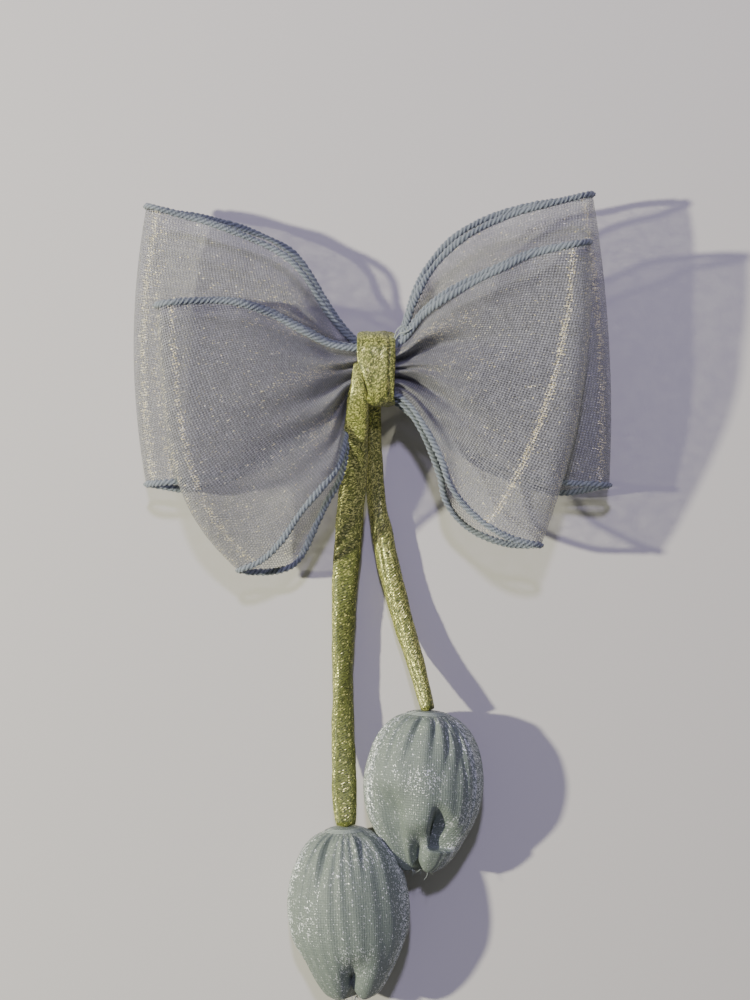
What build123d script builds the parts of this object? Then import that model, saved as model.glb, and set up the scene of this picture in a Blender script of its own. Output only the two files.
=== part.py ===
from build123d import *
import math
import os

# Organza hair bow with two tulip pendants, lying on its back. Millimetres.
# Origin: the middle of the clip's underside. +Z is the face, +Y the bow's top, +X its right.

os.makedirs("parts", exist_ok=True)

# Cloth
CLOTH_WALL = 0.5
HEM_WALL = 1.2
HEM_WIDTH = 1.4
NECK_RADIUS = 1.6
NECK_X = 5.0
HEM_START_X = 7.2

# The gathered middle: the two strips lie one on the other
CORE_HALF_X = 6.4
CORE_LOW_Y = -11.5
CORE_HIGH_Y = 1.5
CORE_HEIGHT = 4.4
BACK_Z = 13.0
FRONT_Z = 18.0
CORE_ROUND = 1.2
JOIN_X = 3.0
CORNER_SHIFT = 0.8
PRISM_LOW_Z = -5.0
PRISM_HEIGHT = 50.0

THREAD = 0.6
THREAD_TURNS = (-1.2, 0.0, 1.2)

# Band
BAND_HALF_X = 4.7
BAND_WALL = 0.9
BAND_LOW_Y = -13.1
BAND_HIGH_Y = 5.4
BAND_LOW_Z = 6.9
BAND_HIGH_Z = 21.9
BAND_ROUND = 2.0

# Clip
CLIP_LENGTH = 50.0
CLIP_WIDTH = 8.0
PLATE_WALL = 0.7
PLATE_END_Z = 6.5
PLATE_RISE = 1.8
PLATE_FLAT = 6.0
EAR_WALL = 0.6
EAR_LENGTH = 3.5
EAR_LOW_Z = 0.3
EAR_HIGH_Z = PLATE_END_Z + 0.2
PIN_RADIUS = 0.6
PIN_X = -23.2
PIN_Z = 1.4
PIN_HEAD_RADIUS = 1.0
PIN_HEAD = 0.35
EAR_HOLE_RADIUS = 0.62
ARM_WIDTH = 5.0
ARM_WALL = 0.8
ARM_TIP_X = 24.3
ARM_TIP_ROUND = 2.0
KNUCKLE_RADIUS = 1.4
KNUCKLE_BORE = 0.66
KNUCKLE_HALF_Y = 2.9
BAR_WIDTH = 4.4
BAR_WALL = 0.4
BAR_SAG = 0.7
BAR_LEFT_X = -20.5
BAR_RIGHT_X = 18.0
BAR_FLAT_LEFT = 1.5
BAR_FLAT_RIGHT = 1.0
CATCH_X = 22.0
CATCH_LENGTH = 4.6
CATCH_WALL = 0.5
CATCH_HALF_Y = 3.7
CATCH_LOW_Z = 1.0
RIVET_RADIUS = 0.7
RIVET_HOLE = 4.0
RIVET_HEAD = 1.3
RIVET_HEAD_HEIGHT = 0.4

# Stems: soft tubes, each along its own route from the knot to its bud
CORNER_SHARE = 0.45
LEFT_STEM_RADIUS = 3.2
RIGHT_STEM_RADIUS = 2.6
LEFT_ROUTE = [
    (-4.5, -16.6, 14.0),
    (-5.4, -27.0, 10.2),
    (-6.4, -39.0, 6.6),
    (-7.6, -52.0, 4.5),
    (-8.3, -66.0, 3.7),
    (-8.5, -80.0, 3.6),
    (-8.4, -94.0, 4.1),
    (-8.1, -107.0, 6.3),
    (-7.6, -118.2, 10.4),
]
RIGHT_ROUTE = [
    (-1.2, -16.0, 7.0),
    (-0.9, -26.0, 4.9),
    (0.0, -37.0, 3.6),
    (2.2, -49.0, 3.0),
    (5.0, -61.0, 3.2),
    (8.2, -72.0, 4.6),
    (11.0, -81.0, 7.0),
    (13.0, -89.2, 10.4),
]

# Buds: distance along the axis and half width; the half height is BUD_FLATNESS of that
BUD_WALL = 0.6
BUD_FLATNESS = 0.71
STUFFING_GAP = 0.1
CUP_GAP = 0.35
LEFT_BUD = [
    (1.6, 5.6),
    (3.2, 5.2),
    (8.4, 10.6),
    (14.0, 13.3),
    (22.0, 14.6),
    (31.0, 13.0),
    (38.0, 8.6),
    (42.0, 4.6),
]
RIGHT_BUD = [
    (1.6, 5.6),
    (3.2, 5.2),
    (8.4, 10.6),
    (14.0, 13.6),
    (21.0, 14.4),
    (29.5, 12.4),
    (34.5, 8.6),
    (39.5, 3.8),
]
RIGHT_BUD_TURN = -3.5
NECK_THREAD_AT = 3.2
NECK_THREAD_WIDTH = 1.0
NECK_THREAD_WALL = 0.7
TIP_RADIUS = 1.3
TIP_LENGTH = 1.6
TIP_OVERLAP = 0.3

# Each loop: outward direction in degrees, reach to the fold, radius of the fold's bow,
# where its middle line starts (Y, Z), how much it rises to the fold and how many degrees it rolls
LOOP_THICKNESS = 9.4
LOOP_HALF_SWEPT = 46.0
LOOPS = {
    "left_back": (180.0, 60.2, 204.0, (2.0, BACK_Z), -1.5, -2.0),
    "left_front": (196.5, 52.0, 114.0, (-8.0, FRONT_Z), 4.6, -5.0),
    "right_back": (4.4, 57.8, 320.0, (-2.0, BACK_Z), -0.5, 5.0),
    "right_front": (-8.5, 49.8, 182.0, (-8.0, FRONT_Z), 6.0, 5.0),
}

# Hem lines in plan, from the knot outward; the last point lies past the fold
HEMS = {
    "left_back_upper": [
        (-7.2, 4.0), (-13.0, 11.5), (-21.4, 23.0), (-36.0, 30.0), (-57.0, 36.3), (-66.0, 38.6)
    ],
    "left_back_lower": [
        (-7.2, -12.6), (-18.0, -20.0), (-30.0, -27.0), (-44.0, -31.2), (-57.6, -32.6), (-66.0, -33.0)
    ],
    "left_front_upper": [
        (-7.2, 0.8), (-18.6, 5.2), (-26.0, 8.8), (-35.0, 11.4), (-53.6, 10.6), (-62.0, 9.6)
    ],
    "left_front_lower": [
        (-10.6, -14.6), (-11.4, -22.0), (-12.6, -30.0), (-17.4, -36.8), (-22.0, -44.0), (-34.4, -54.0),
        (-42.0, -59.0)
    ],
    "right_back_upper": [
        (7.2, 4.0), (9.4, 12.4), (20.6, 27.0), (34.0, 34.0), (53.4, 39.0), (62.0, 41.0)
    ],
    "right_back_lower": [
        (7.2, -12.6), (18.0, -21.0), (30.0, -28.0), (44.0, -31.8), (58.4, -32.8), (67.0, -33.0)
    ],
    "right_front_upper": [
        (7.2, 2.4), (11.0, 8.0), (22.7, 15.5), (36.0, 22.2), (51.6, 25.8), (60.0, 27.6)
    ],
    "right_front_lower": [
        (7.4, -12.4), (12.2, -19.4), (17.0, -31.0), (26.0, -41.4), (40.5, -47.6), (49.0, -50.0)
    ],
}


def teardrop(neck, belly, reach):
    """A closed outline in XZ: a small round at the neck, a large one at the fold."""
    fold_x = reach - belly
    lean = math.asin((belly - neck) / (fold_x - NECK_X))
    dx, dz = math.sin(lean), math.cos(lean)
    top_in = (NECK_X - neck * dx, neck * dz)
    top_out = (fold_x - belly * dx, belly * dz)
    low_out = (top_out[0], -top_out[1])
    low_in = (top_in[0], -top_in[1])
    outline = Line(top_in, top_out)
    outline += ThreePointArc(top_out, (fold_x + belly, 0), low_out)
    outline += Line(low_out, low_in)
    outline += ThreePointArc(low_in, (NECK_X - neck, 0), top_in)
    return make_face(outline)


def loop_ring(wall, turn, reach, bow, start, rise, roll):
    """One loop of cloth with a bowed fold, as wide as the whole strip."""
    half = wall / 2
    belly = LOOP_THICKNESS / 2 - half
    outer = teardrop(NECK_RADIUS + half, belly + half, reach)
    inner = teardrop(NECK_RADIUS - half, belly - half, reach - wall)
    face = Plane.XZ * (outer - inner)
    axle = Axis((reach - bow, 0, 0), (0, 0, 1))
    sweep = math.degrees(2 * LOOP_HALF_SWEPT / bow)
    ring = revolve(face, axis=axle, revolution_arc=sweep).rotate(axle, -sweep / 2)
    ring = ring.rotate(Axis.X, roll)
    ring = ring.rotate(Axis.Y, -math.degrees(math.asin(rise / reach)))
    ring = ring.rotate(Axis.Z, turn)
    return ring.moved(Location((0, start[0], start[1])))


def upright(face):
    """A flat plan shape as a prism through the bow's whole height."""
    return extrude(Plane.XY.offset(PRISM_LOW_Z) * face, PRISM_HEIGHT)


def hem_line(name):
    return Spline(*HEMS[name])


def hem_prism(name):
    return upright(trace(hem_line(name), HEM_WIDTH))


def plan_prism(name):
    """The loop's outline in plan, from the middle of the knot past its fold."""
    upper = HEMS[name + "_upper"]
    lower = HEMS[name + "_lower"]
    side = math.copysign(1, upper[0][0])
    top_in = (side * JOIN_X, CORE_HIGH_Y)
    low_in = (side * JOIN_X, CORE_LOW_Y)
    outline = Spline(*upper)
    outline += Line(upper[-1], lower[-1])
    outline += Spline(*lower[::-1])
    outline += Line(lower[0], low_in)
    outline += Line(low_in, top_in)
    outline += Line(top_in, upper[0])
    return upright(make_face(outline))


def core(z):
    block = Box(2 * CORE_HALF_X, CORE_HIGH_Y - CORE_LOW_Y, CORE_HEIGHT)
    block = fillet(block.edges().filter_by(Axis.X), CORE_ROUND)
    return block.moved(Location((0, (CORE_LOW_Y + CORE_HIGH_Y) / 2, z)))


def ribbon(layer, z):
    """One organza strip: two loops and the gathered middle between them."""
    cloth = core(z)
    for side in ("left", "right"):
        name = f"{side}_{layer}"
        loop = loop_ring(CLOTH_WALL, *LOOPS[name]) & plan_prism(name)
        for edge in ("upper", "lower"):
            loop -= hem_prism(f"{name}_{edge}")
        cloth += max(loop.solids(), key=lambda solid: solid.volume)
    return cloth


def hem(layer, edge):
    """The overlocked edge of a strip's left and right loops."""
    pieces = []
    for side in ("left", "right"):
        name = f"{side}_{layer}"
        loop = loop_ring(HEM_WALL, *LOOPS[name])
        pieces += (loop & hem_prism(f"{name}_{edge}")).solids()
    return Compound(children=pieces)


def ring_round(low_y, high_y, low_z, high_z, wall, width, corner, x):
    """A flat loop of tape round the gathers, as an X prism."""
    outer = RectangleRounded(high_y - low_y, high_z - low_z, corner)
    inside = corner - CORNER_SHIFT * wall
    inner = RectangleRounded(high_y - low_y - 2 * wall, high_z - low_z - 2 * wall, inside)
    tape = extrude(Plane.YZ * (outer - inner), width / 2, both=True)
    return tape.moved(Location((x, (low_y + high_y) / 2, (low_z + high_z) / 2)))


def gathering_thread():
    low_z = BACK_Z - CORE_HEIGHT / 2 - THREAD
    high_z = FRONT_Z + CORE_HEIGHT / 2 + THREAD
    turns = []
    for x in THREAD_TURNS:
        corner = CORE_ROUND + CORNER_SHIFT * THREAD
        turn = ring_round(
            CORE_LOW_Y - THREAD, CORE_HIGH_Y + THREAD, low_z, high_z, THREAD, THREAD, corner, x
        )
        turns.append(turn.solid())
    return Compound(children=turns)


def centre_band():
    width = 2 * BAND_HALF_X
    return ring_round(
        BAND_LOW_Y, BAND_HIGH_Y, BAND_LOW_Z, BAND_HIGH_Z, BAND_WALL, width, BAND_ROUND, 0
    )


def bowed_strip(left, right, end_z, middle_z, wall, width, flat_left, flat_right):
    """A strip of sheet with flat ends and a bowed middle, centred on Y = 0."""
    mid = (left + flat_left + right - flat_right) / 2
    top = Line((left, end_z + wall), (left + flat_left, end_z + wall))
    bow_left = (left + flat_left, end_z + wall)
    bow_right = (right - flat_right, end_z + wall)
    top += ThreePointArc(bow_left, (mid, middle_z + wall), bow_right)
    top += Line((right - flat_right, end_z + wall), (right, end_z + wall))
    top += Line((right, end_z + wall), (right, end_z))
    top += Line((right, end_z), (right - flat_right, end_z))
    top += ThreePointArc((right - flat_right, end_z), (mid, middle_z), (left + flat_left, end_z))
    top += Line((left + flat_left, end_z), (left, end_z))
    top += Line((left, end_z), (left, end_z + wall))
    return extrude(Plane.XZ * make_face(top), width / 2, both=True)


def along_y(radius, low_y, high_y, x, z):
    rod = Cylinder(radius, high_y - low_y)
    return rod.rotate(Axis.X, 90).moved(Location((x, (low_y + high_y) / 2, z)))


def clip_plate():
    half = CLIP_LENGTH / 2
    plate = bowed_strip(
        -half, half, PLATE_END_Z, PLATE_END_Z + PLATE_RISE, PLATE_WALL, CLIP_WIDTH, PLATE_FLAT, PLATE_FLAT
    )
    for side in (-1, 1):
        ear = Box(EAR_LENGTH, EAR_WALL, EAR_HIGH_Z - EAR_LOW_Z)
        y = side * (CLIP_WIDTH - EAR_WALL) / 2
        plate += ear.moved(Location((-half + EAR_LENGTH / 2, y, (EAR_HIGH_Z + EAR_LOW_Z) / 2)))
    plate -= along_y(EAR_HOLE_RADIUS, -CLIP_WIDTH, CLIP_WIDTH, PIN_X, PIN_Z)
    plate -= Cylinder(RIVET_RADIUS, RIVET_HOLE).moved(Location((CATCH_X, 0, PLATE_END_Z)))
    return plate


def clip_hinge_pin():
    half = CLIP_WIDTH / 2
    pin = along_y(PIN_RADIUS, -half, half, PIN_X, PIN_Z)
    pin += along_y(PIN_HEAD_RADIUS, half, half + PIN_HEAD, PIN_X, PIN_Z)
    pin += along_y(PIN_HEAD_RADIUS, -half - PIN_HEAD, -half, PIN_X, PIN_Z)
    return pin


def clip_arm():
    length = ARM_TIP_X - PIN_X
    strip = Box(length, ARM_WIDTH, ARM_WALL).moved(Location((PIN_X + length / 2, 0, ARM_WALL / 2)))
    strip = fillet(strip.edges().filter_by(Axis.Z).group_by(Axis.X)[-1], ARM_TIP_ROUND)
    arm = strip + along_y(KNUCKLE_RADIUS, -KNUCKLE_HALF_Y, KNUCKLE_HALF_Y, PIN_X, PIN_Z)
    return arm - along_y(KNUCKLE_BORE, -CLIP_WIDTH, CLIP_WIDTH, PIN_X, PIN_Z)


def clip_tension_bar():
    end_z = PLATE_END_Z - BAR_WALL
    middle_z = end_z - BAR_SAG
    return bowed_strip(
        BAR_LEFT_X, BAR_RIGHT_X, end_z, middle_z, BAR_WALL, BAR_WIDTH, BAR_FLAT_LEFT, BAR_FLAT_RIGHT
    )


def clip_catch():
    """A folded spring: a web under the plate and a prong on each side of the arm's tip."""
    height = PLATE_END_Z - CATCH_LOW_Z
    outer = Box(CATCH_LENGTH, 2 * CATCH_HALF_Y, height)
    inner = Box(2 * CATCH_LENGTH, 2 * (CATCH_HALF_Y - CATCH_WALL), height)
    outer = outer.moved(Location((CATCH_X, 0, CATCH_LOW_Z + height / 2)))
    inner = inner.moved(Location((CATCH_X, 0, CATCH_LOW_Z + height / 2 - CATCH_WALL)))
    hole = Cylinder(RIVET_RADIUS, RIVET_HOLE).moved(Location((CATCH_X, 0, PLATE_END_Z)))
    return outer - inner - hole


def clip_catch_rivet():
    low = PLATE_END_Z - CATCH_WALL
    high = PLATE_END_Z + PLATE_WALL
    shank = Cylinder(RIVET_RADIUS, high - low).moved(Location((CATCH_X, 0, (low + high) / 2)))
    for z in (low - RIVET_HEAD_HEIGHT / 2, high + RIVET_HEAD_HEIGHT / 2):
        shank += Cylinder(RIVET_HEAD, RIVET_HEAD_HEIGHT).moved(Location((CATCH_X, 0, z)))
    return shank


def corner_radii(points):
    """The largest tangent arcs that the runs on each side of a corner allow."""
    radii = []
    for before, corner, after in zip(points, points[1:], points[2:]):
        into = Vector(*corner) - Vector(*before)
        out = Vector(*after) - Vector(*corner)
        half_turn = math.radians(into.get_angle(out)) / 2
        radii.append(CORNER_SHARE * min(into.length, out.length) / math.tan(half_turn))
    return radii


def stem(name, points, radius):
    """A soft tube with a rounded end at the knot and in the bud."""
    radii = corner_radii(points)
    path = FilletPolyline(*points, radius=radii)
    start = Plane(origin=path @ 0, z_dir=path % 0)
    tube = sweep(start * Circle(radius), path=path)
    section_times_length = math.pi * radius**2 * path.length
    print(name, "length", round(path.length, 1), "radii", [round(r, 1) for r in radii])
    print(name, "volume over section times length", round(tube.volume / section_times_length, 4))
    for end in (points[0], points[-1]):
        tube += Sphere(radius).moved(Location(end))
    return tube


def bud_form(stations, inset):
    """A bud along -Y from its neck, an ellipse at each station, smaller by inset all round."""
    last = len(stations) - 1
    rings = []
    for index, (at, half_width) in enumerate(stations):
        shift = inset if index == 0 else -inset if index == last else 0
        across = Plane(origin=(0, -at - shift, 0), x_dir=(1, 0, 0), z_dir=(0, -1, 0))
        rings.append(across * Ellipse(half_width - inset, half_width * BUD_FLATNESS - inset))
    return loft(rings, ruled=True)


def neck_wrap(stations):
    """The wound thread in the neck, before the cover is taken out of it."""
    half_x = stations[1][1]
    half_z = half_x * BUD_FLATNESS
    band = Ellipse(half_x + NECK_THREAD_WALL, half_z + NECK_THREAD_WALL)
    band -= Ellipse(half_x - NECK_THREAD_WALL, half_z - NECK_THREAD_WALL)
    across = Plane(origin=(0, -NECK_THREAD_AT, 0), x_dir=(1, 0, 0), z_dir=(0, -1, 0))
    return extrude(across * band, NECK_THREAD_WIDTH / 2, both=True)


def tip_pinch(stations):
    """The stitches that pinch the tip, before the cover is taken out of them."""
    at = stations[-1][0] + TIP_LENGTH / 2 - TIP_OVERLAP
    return Cylinder(TIP_RADIUS, TIP_LENGTH).rotate(Axis.X, 90).moved(Location((0, -at, 0)))


def write_bud(side, stations, pivot, turn, stem_radius):
    outside = bud_form(stations, 0)
    cup = Sphere(stem_radius + CUP_GAP)
    pieces = {
        "cover": outside - bud_form(stations, BUD_WALL) - cup,
        "stuffing": bud_form(stations, BUD_WALL + STUFFING_GAP) - cup,
        "neck_thread": neck_wrap(stations) - outside,
        "tip_stitch": tip_pinch(stations) - outside,
    }
    for name, piece in pieces.items():
        solid = max(piece.solids(), key=lambda one: one.volume)
        export_step(solid.rotate(Axis.Z, turn).moved(Location(pivot)), f"parts/{side}_bud_{name}.step")


write_bud("left", LEFT_BUD, LEFT_ROUTE[-1], 0, LEFT_STEM_RADIUS)
write_bud("right", RIGHT_BUD, RIGHT_ROUTE[-1], RIGHT_BUD_TURN, RIGHT_STEM_RADIUS)

export_step(ribbon("back", BACK_Z), "parts/back_ribbon.step")
export_step(ribbon("front", FRONT_Z), "parts/front_ribbon.step")
for layer in ("back", "front"):
    for edge in ("upper", "lower"):
        export_step(hem(layer, edge), f"parts/{layer}_{edge}_hem.step")

export_step(gathering_thread(), "parts/gathering_thread.step")
export_step(centre_band(), "parts/centre_band.step")
export_step(stem("left_stem", LEFT_ROUTE, LEFT_STEM_RADIUS), "parts/left_stem.step")
export_step(stem("right_stem", RIGHT_ROUTE, RIGHT_STEM_RADIUS), "parts/right_stem.step")

export_step(clip_plate(), "parts/clip_plate.step")
export_step(clip_arm(), "parts/clip_arm.step")
export_step(clip_hinge_pin(), "parts/clip_hinge_pin.step")
export_step(clip_tension_bar(), "parts/clip_tension_bar.step")
export_step(clip_catch(), "parts/clip_catch.step")
export_step(clip_catch_rivet(), "parts/clip_catch_rivet.step")
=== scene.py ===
import math

import bpy
import numpy as np
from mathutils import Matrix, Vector


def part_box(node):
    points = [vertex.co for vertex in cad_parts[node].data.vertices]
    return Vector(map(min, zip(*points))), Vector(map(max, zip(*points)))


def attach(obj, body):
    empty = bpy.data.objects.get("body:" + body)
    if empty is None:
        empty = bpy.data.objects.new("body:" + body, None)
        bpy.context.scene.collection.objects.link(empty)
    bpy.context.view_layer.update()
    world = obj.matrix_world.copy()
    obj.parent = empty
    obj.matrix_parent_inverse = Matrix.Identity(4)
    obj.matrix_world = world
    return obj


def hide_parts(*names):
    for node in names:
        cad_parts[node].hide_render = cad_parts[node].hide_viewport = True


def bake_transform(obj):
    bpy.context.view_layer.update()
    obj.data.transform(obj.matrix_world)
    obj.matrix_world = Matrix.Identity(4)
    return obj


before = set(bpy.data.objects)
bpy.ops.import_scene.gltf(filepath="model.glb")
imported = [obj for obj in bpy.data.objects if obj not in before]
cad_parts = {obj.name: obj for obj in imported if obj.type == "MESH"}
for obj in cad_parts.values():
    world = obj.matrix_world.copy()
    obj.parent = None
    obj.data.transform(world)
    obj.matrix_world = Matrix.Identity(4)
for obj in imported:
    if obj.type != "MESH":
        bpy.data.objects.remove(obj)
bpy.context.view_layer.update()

# Lengths are in millimetres unless a name or a comment says metres.
MM = 0.001
KNOT_Y = -5.0                 # middle of the gathers
KNOT_HALF = 4.0               # the edges start this far from the middle, under the band
STRANDS = 3                   # strands in the edge stitching's rope
ROPE_PITCH = 1.25             # from one strand to the next along it
ROPE_UV = 0.004               # once round the rope in its UV map, metres
HEM_HALF_WIDE = 0.74
HEM_HALF_THICK = 0.50
HEM_STEP = 0.16               # between the rope's rings
RIBBON_WIDTH = 70.0           # cut width of the organza
CAMERA_HEIGHT = 500.0
CAMERA_OVER = (-0.3, -36.5)   # the point of the table that the camera looks straight down at
FLOOR_Z = -0.05               # just under the clip, so that the two faces don't fight
FLOOR_HALF = 1600.0


# ------------------------------------------------------------------ camera

def make_camera():
    """Straight above the bow, as a phone held over a table."""
    data = bpy.data.cameras.new("camera")
    data.lens = 70.6
    data.sensor_width = 36.0
    data.clip_start = 0.01
    camera = bpy.data.objects.new("camera", data)
    camera.location = metres((*CAMERA_OVER, CAMERA_HEIGHT))
    bpy.context.scene.collection.objects.link(camera)
    bpy.context.scene.camera = camera


# ------------------------------------------------------------------ small maths

def metres(point):
    return tuple(c * MM for c in point)


def smoothstep(low, high, x):
    """0 at low, 1 at high, smooth between; high may lie below low."""
    t = np.clip((np.asarray(x, float) - low) / (high - low), 0, 1)
    return t * t * (3 - 2 * t)


def hump(x, middle, width):
    """1 at the middle, falling to 0 within about two widths."""
    return np.exp(-(((x - middle) / width) ** 2))


def squarish(wave, power):
    """A sine or cosine flattened for a superellipse."""
    return np.sign(wave) * np.abs(wave) ** (2 / power)


def apart(degrees, place):
    """The angle from one direction to another, from -180 to 180 degrees."""
    return (degrees - place + 180) % 360 - 180


def between(t, t_a, t_b, a, b):
    return ((t_b - t) * a + (t - t_a) * b) / (t_b - t_a)


def smooth_line(points, count):
    """Evenly spaced points on a centripetal Catmull-Rom curve through points."""
    p = np.array(points, float)
    p = np.vstack([2 * p[0] - p[1], p, 2 * p[-1] - p[-2]])
    out = []
    for k in range(1, len(p) - 2):
        p0, p1, p2, p3 = p[k - 1], p[k], p[k + 1], p[k + 2]
        t0 = 0.0
        t1 = t0 + np.linalg.norm(p1 - p0) ** 0.5
        t2 = t1 + np.linalg.norm(p2 - p1) ** 0.5
        t3 = t2 + np.linalg.norm(p3 - p2) ** 0.5
        for t in np.linspace(t1, t2, 40, endpoint=False):
            a1 = between(t, t0, t1, p0, p1)
            a2 = between(t, t1, t2, p1, p2)
            a3 = between(t, t2, t3, p2, p3)
            b1 = between(t, t0, t2, a1, a2)
            b2 = between(t, t1, t3, a2, a3)
            out.append(between(t, t1, t2, b1, b2))
    out.append(p[-2])
    return resample(np.array(out), count)


def lengths(line):
    """Distance along a line to each of its points."""
    return np.concatenate([[0], np.cumsum(np.linalg.norm(np.diff(line, axis=0), axis=1))])


def resample(line, count):
    """The same line with evenly spaced points."""
    along = lengths(line)
    want = np.linspace(0, along[-1], count)
    return np.stack([np.interp(want, along, line[:, k]) for k in range(line.shape[1])], axis=1)


def wave_noise(seed, *coords):
    """Smooth seeded noise in -1..1 from a few sine waves."""
    rng = np.random.default_rng(seed)
    total = 0.0
    for _ in range(7):
        phase = rng.uniform(0, 2 * math.pi)
        angle = phase
        for c in coords:
            angle = angle + c * rng.uniform(0.5, 1.6) * rng.choice([-1, 1])
        total = total + np.sin(angle)
    return total / 4.0


# ------------------------------------------------------------------ mesh making

def grid_mesh(name, grid, uv=None, wrap_rows=False, wrap_cols=False, caps=False, **fields):
    """A mesh of quads from a rows x cols x 3 array in mm, with a UV map in metres.
    fields are numbers from 0 to 1 at each point for the materials: shine is how thickly the cloth is
    sprinkled with bright threads, painted as glints, and fold how much of it lies gathered there (for the
    hem rope, how deep it sinks between its strands), which the materials paint as shade and the organza
    also as thicker cloth."""
    rows, cols = grid.shape[:2]
    verts = (grid.reshape(-1, 3) * MM).tolist()
    r_end = rows if wrap_rows else rows - 1
    c_end = cols if wrap_cols else cols - 1
    r = np.arange(r_end)[:, None]
    c = np.arange(c_end)[None, :]
    rn, cn = (r + 1) % rows, (c + 1) % cols
    quads = np.stack([r * cols + c, r * cols + cn, rn * cols + cn, rn * cols + c], -1).reshape(-1, 4)
    faces = quads.tolist()
    if caps:
        faces.append(list(range(cols))[::-1])
        faces.append(list(range((rows - 1) * cols, rows * cols)))
    mesh = bpy.data.meshes.new(name)
    mesh.from_pydata(verts, [], faces)
    if uv is not None:
        u = np.broadcast_to(uv[0], (rows, cols)).reshape(-1)
        v = np.broadcast_to(uv[1], (rows, cols)).reshape(-1)
        layer = mesh.uv_layers.new(name="cloth")
        loops = np.zeros(len(mesh.loops), np.int32)
        mesh.loops.foreach_get("vertex_index", loops)
        layer.data.foreach_set("uv", np.stack([u[loops], v[loops]], 1).astype(np.float32).reshape(-1))
    for field, values in fields.items():
        value = np.broadcast_to(values, (rows, cols)).reshape(-1).astype(np.float32)
        mesh.attributes.new(field, "FLOAT", "POINT").data.foreach_set("value", value)
    mesh.polygons.foreach_set("use_smooth", [True] * len(mesh.polygons))
    mesh.validate()
    return mesh


def piece(name, meshes, material):
    """One object from one or several meshes."""
    if not isinstance(meshes, (list, tuple)):
        meshes = [meshes]
    objects = []
    for mesh in meshes:
        o = bpy.data.objects.new(name, mesh)
        bpy.context.scene.collection.objects.link(o)
        objects.append(o)
    if len(objects) > 1:
        with bpy.context.temp_override(active_object=objects[0], selected_editable_objects=objects):
            bpy.ops.object.join()
    o = objects[0]
    o.name = name
    o.data.materials.clear()
    o.data.materials.append(material)
    return o


def directions(line):
    tangent = np.gradient(line, axis=0)
    return tangent / np.linalg.norm(tangent, axis=1)[:, None]


def frames_along(line, up):
    """Side and up at each point, the up kept as near the given one as it can be."""
    tangent = directions(line)
    up = np.broadcast_to(np.asarray(up, float), line.shape)
    side = np.cross(tangent, up)
    side /= np.linalg.norm(side, axis=1)[:, None]
    return side, np.cross(side, tangent)


def tube(line, half_wide, half_thick, up, turn=0.0, segments=24, power=2.0, lift=None):
    """A grid round a line: a superellipse section that may widen, flatten and turn along it."""
    n = len(line)
    side, top = frames_along(line, up)
    a = np.linspace(0, 2 * math.pi, segments, endpoint=False)[None, :]
    x, y = squarish(np.cos(a), power), squarish(np.sin(a), power)
    hw = np.broadcast_to(np.asarray(half_wide, float).reshape(-1, 1), (n, 1))
    ht = np.broadcast_to(np.asarray(half_thick, float).reshape(-1, 1), (n, 1))
    x, y = x * hw, y * ht
    if lift is not None:
        along = lengths(line)
        bump = lift((along / along[-1])[:, None], a)
        x, y = x * (1 + bump), y * (1 + bump)
    turn = np.broadcast_to(np.asarray(turn, float).reshape(-1, 1), (n, 1))
    xr = x * np.cos(turn) - y * np.sin(turn)
    yr = x * np.sin(turn) + y * np.cos(turn)
    return line[:, None, :] + xr[..., None] * side[:, None, :] + yr[..., None] * top[:, None, :]


def rounded_ends(line, half_wide, half_thick, depth=1.0):
    """Scales a tube's sections so that both ends close in a round, shallower at a smaller depth."""
    along = lengths(line)
    total = along[-1]
    near = np.minimum(along, total - along)
    reach = np.maximum(np.asarray(half_thick, float), 1e-6) * depth
    scale = np.sqrt(np.clip(1 - (1 - np.clip(near / reach, 0, 1)) ** 2, 0.0004, 1))
    return half_wide * scale, half_thick * scale


# ------------------------------------------------------------------ materials

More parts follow.
